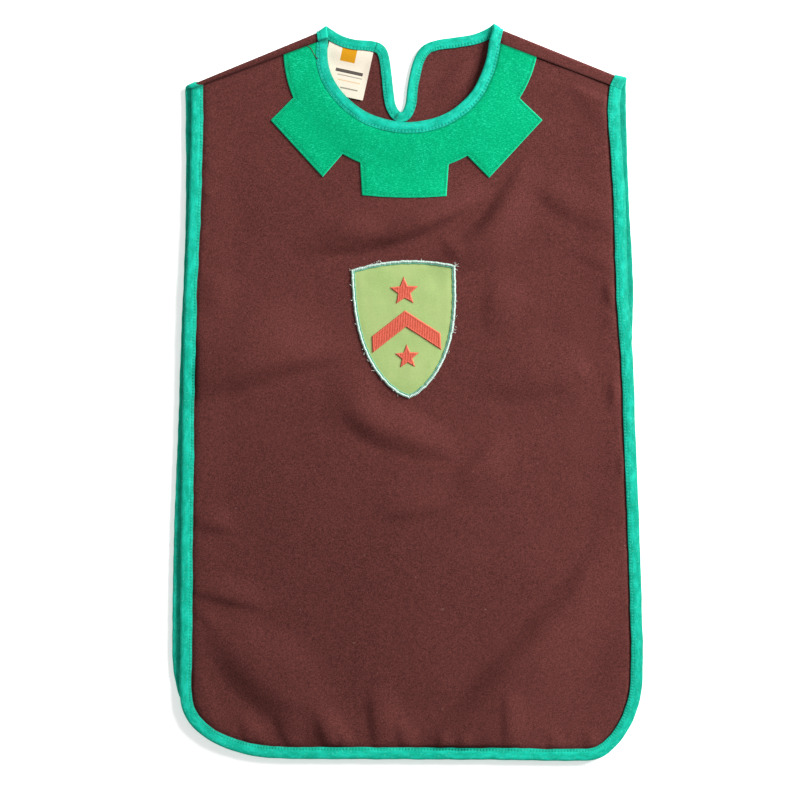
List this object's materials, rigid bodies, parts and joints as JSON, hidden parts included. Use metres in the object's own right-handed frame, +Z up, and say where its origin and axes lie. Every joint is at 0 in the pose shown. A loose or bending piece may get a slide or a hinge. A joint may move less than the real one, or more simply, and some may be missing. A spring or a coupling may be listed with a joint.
{
  "type": "tabard",
  "caption": "Open-sided child's knight tabard laid flat: bound brown front and back panels, felt tabbed collar, shield patch, slit at the back neck.",
  "frame": {"origin": "middle of the box in plan, on the surface that the tabard lies on", "axes": "+Y towards the neck, +X to the right as seen from above, +Z up out of the surface; the front panel is uppermost"},
  "size_m": [0.4241, 0.6633, 0.0079],
  "materials": {
    "front_panel": "fine brown twill, matt",
    "back_panel": "fine brown twill, matt",
    "edge_binding_front": "teal bias tape, slight sheen",
    "edge_binding_back": "teal bias tape, slight sheen",
    "neck_binding_front": "teal bias tape, slight sheen",
    "neck_binding_back": "teal bias tape, slight sheen",
    "collar_applique": "green felt, matt",
    "shield_patch": "sage green cloth, matt",
    "shield_border": "mint satin stitch, slight sheen",
    "chevron": "coral satin stitch, slight sheen",
    "star_high": "coral satin stitch, slight sheen",
    "star_low": "coral satin stitch, slight sheen",
    "neck_label": "cream woven label, matt"
  },
  "bodies": {
    "root": {"front_panel": "front_panel", "back_panel": "back_panel", "edge_binding_front": "edge_binding_front", "edge_binding_back": "edge_binding_back", "neck_binding_front": "neck_binding_front", "neck_binding_back": "neck_binding_back", "collar_applique": "collar_applique", "shield_patch": "shield_patch", "shield_border": "shield_border", "chevron": "chevron", "star_high": "star_high", "star_low": "star_low", "neck_label": "neck_label"}
  },
  "joints": []
}
